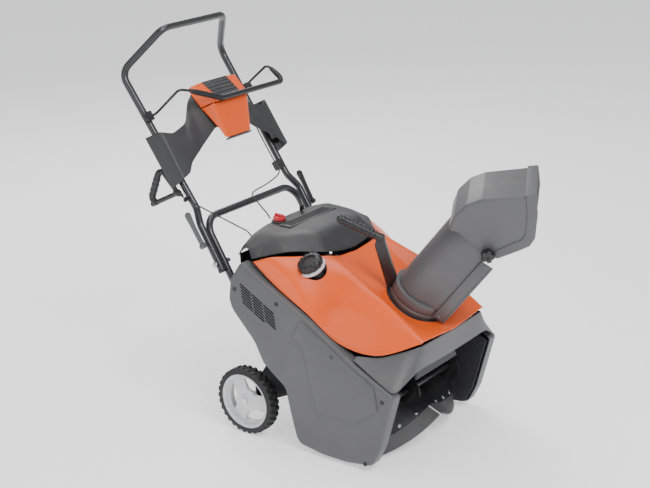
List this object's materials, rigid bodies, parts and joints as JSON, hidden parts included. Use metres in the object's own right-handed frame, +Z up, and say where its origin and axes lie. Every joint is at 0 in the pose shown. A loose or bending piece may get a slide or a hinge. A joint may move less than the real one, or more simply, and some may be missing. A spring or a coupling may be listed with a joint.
{
  "type": "snow blower",
  "caption": "Walk-behind petrol snow blower with paddle rotor, turning discharge chute, tilting deflector, folding tube handle and two wheels.",
  "frame": {"origin": "middle of the scraper bar underside, on the ground", "axes": "+Z up, -Y out of the intake (the way it travels), +X towards the operator's left"},
  "size_m": [0.564, 1.2627, 1.152],
  "materials": {
    "housing_black": "moulded black, slightly scuffed",
    "panel_grey": "fine textured mid grey",
    "orange": "glossy orange",
    "cover_grey": "fine textured dark grey",
    "tube_grey": "satin dark grey powder coat",
    "black_plastic": "satin black",
    "red_plastic": "glossy red",
    "tyre": "ribbed black rubber",
    "rim": "light grey moulding",
    "bright_steel": "zinc plated",
    "dark_steel": "black painted steel",
    "paddle_rubber": "worn black rubber",
    "engine_alloy": "cast alloy",
    "engine_iron": "dark cast iron",
    "bronze": "sintered bronze",
    "ceramic": "white glazed insulator",
    "belt_rubber": "ribbed belt",
    "cord": "woven cord and sleeved cable"
  },
  "bodies": {
    "chassis": {"auger_housing": "housing_black", "end_plate_right": "housing_black", "end_plate_left": "housing_black", "discharge_throat": "housing_black", "chute_base": "housing_black", "scraper_bar": "dark_steel", "engine_deck": "dark_steel", "side_panel_right": "panel_grey", "side_panel_left": "panel_grey", "nose": "panel_grey", "hood": "orange", "engine_cover": "cover_grey", "rear_cover": "cover_grey", "lower_handle": "tube_grey", "engine_block": "engine_alloy", "spark_plug": "black_plastic", "fuel_tank": "black_plastic", "muffler": "engine_iron", "carburettor": "engine_alloy", "recoil_housing": "housing_black", "wheel_axle": "bright_steel", "rotor_bearings": "bronze", "starter_rope": "cord", "panel_screws": "black_plastic", "frame_bolts": "bright_steel", "drive_belt": "belt_rubber"},
    "rotor": {"rotor_shaft": "dark_steel", "rotor_flights": "dark_steel", "rubber_paddles": "paddle_rubber", "rotor_bolts": "bright_steel", "rotor_pulley": "dark_steel"},
    "crank": {"crankshaft": "bright_steel", "crank_pulley": "dark_steel", "flywheel": "engine_alloy"},
    "belt_tensioner": {"idler_arm": "bright_steel"},
    "idler_wheel": {"idler_pulley": "dark_steel"},
    "chute": {"chute_tube": "panel_grey", "chute_ring": "panel_grey", "chute_handle": "black_plastic"},
    "chute_deflector": {"deflector": "panel_grey"},
    "knob_right": {"deflector_knob_right": "black_plastic"},
    "knob_left": {"deflector_knob_left": "black_plastic"},
    "folding_handle": {"upper_handle": "tube_grey", "console": "cover_grey", "console_front": "orange", "console_cap": "cover_grey", "handle_fittings": "black_plastic", "control_cable": "cord"},
    "control_bail": {"bail": "black_plastic"},
    "lever_right": {"cam_lever_right": "panel_grey"},
    "lever_left": {"cam_lever_left": "black_plastic"},
    "pull_grip": {"starter_grip": "black_plastic"},
    "filler_cap": {"fuel_cap": "black_plastic"},
    "key": {"ignition_key": "black_plastic"},
    "choke": {"choke_knob": "red_plastic"},
    "wheel_right": {"tyre_right": "tyre", "rim_right": "rim"},
    "wheel_left": {"tyre_left": "tyre", "rim_left": "rim"}
  },
  "joints": [
    {"name": "rotor_spin", "type": "hinge", "parent": "chassis", "child": "rotor", "pos_m": [0, -0.15, 0.132], "axis": [1, 0, 0], "continuous": true},
    {"name": "crank_spin", "type": "hinge", "parent": "chassis", "child": "crank", "pos_m": [0, 0.12, 0.3], "axis": [1, 0, 0], "continuous": true},
    {"name": "tensioner_swing", "type": "hinge", "parent": "chassis", "child": "belt_tensioner", "pos_m": [0.232, 0.072, 0.189], "axis": [-1, 0, 0], "range_deg": [0, 5]},
    {"name": "idler_spin", "type": "hinge", "parent": "belt_tensioner", "child": "idler_wheel", "pos_m": [0.25, 0.021, 0.157], "axis": [1, 0, 0], "continuous": true},
    {"name": "chute_turn", "type": "hinge", "parent": "chassis", "child": "chute", "pos_m": [0, -0.208, 0.467], "axis": [0, -0.5, 0.866], "range_deg": [-130, 70]},
    {"name": "deflector_tilt", "type": "hinge", "parent": "chute", "child": "chute_deflector", "pos_m": [0.044, -0.3905, 0.63068], "axis": [0.866, 0.433, 0.25], "range_deg": [0, 40]},
    {"name": "knob_right_turn", "type": "hinge", "parent": "chute", "child": "knob_right", "pos_m": [-0.03394, -0.42947, 0.60818], "axis": [-0.866, -0.433, -0.25], "range_deg": [0, 180]},
    {"name": "knob_left_turn", "type": "hinge", "parent": "chute", "child": "knob_left", "pos_m": [0.12194, -0.35153, 0.65318], "axis": [0.866, 0.433, 0.25], "range_deg": [0, 180]},
    {"name": "handle_fold", "type": "hinge", "parent": "chassis", "child": "folding_handle", "pos_m": [0, 0.34716, 0.495], "axis": [1, 0, 0], "range_deg": [-95, 0], "deforming": ["control_cable", "starter_rope"]},
    {"name": "bail_squeeze", "type": "hinge", "parent": "folding_handle", "child": "control_bail", "pos_m": [0, 0.59986, 0.89751], "axis": [-1, 0, 0], "range_deg": [0, 25], "stiffness_Nm_per_rad": 2, "springref_deg": -28.65},
    {"name": "lever_right_open", "type": "hinge", "parent": "folding_handle", "child": "lever_right", "pos_m": [-0.263, 0.38093, 0.55], "axis": [0, -0.8522, 0.5232], "range_deg": [0, 100]},
    {"name": "lever_left_open", "type": "hinge", "parent": "folding_handle", "child": "lever_left", "pos_m": [0.263, 0.38093, 0.55], "axis": [0, 0.8522, -0.5232], "range_deg": [0, 100]},
    {"name": "starter_pull", "type": "slide", "parent": "folding_handle", "child": "pull_grip", "axis": [0, 0.994, 0.109], "range_m": [0, 0.5], "stiffness_N_per_m": 15, "springref_m": -0.3},
    {"name": "cap_unscrew", "type": "hinge", "parent": "chassis", "child": "filler_cap", "pos_m": [-0.184, 0.05, 0.534], "axis": [-0.4951, 0.1392, 0.8576], "range_deg": [0, 90]},
    {"name": "key_pull", "type": "slide", "parent": "chassis", "child": "key", "axis": [0, 0, 1], "range_m": [0, 0.012]},
    {"name": "choke_turn", "type": "hinge", "parent": "chassis", "child": "choke", "pos_m": [-0.08, 0.243, 0.604], "axis": [0, 0, 1], "range_deg": [0, 90]},
    {"name": "wheel_right_spin", "type": "hinge", "parent": "chassis", "child": "wheel_right", "pos_m": [-0.258, 0.235, 0.1015], "axis": [1, 0, 0], "continuous": true},
    {"name": "wheel_left_spin", "type": "hinge", "parent": "chassis", "child": "wheel_left", "pos_m": [0.258, 0.235, 0.1015], "axis": [1, 0, 0], "continuous": true}
  ],
  "couplings": [
    {"joint": "crank_spin", "follows": "rotor_spin", "ratio": 2.3061},
    {"joint": "idler_spin", "follows": "rotor_spin", "ratio": -3.3611},
    {"joint": "tensioner_swing", "follows": "bail_squeeze", "ratio": 0.2}
  ]
}
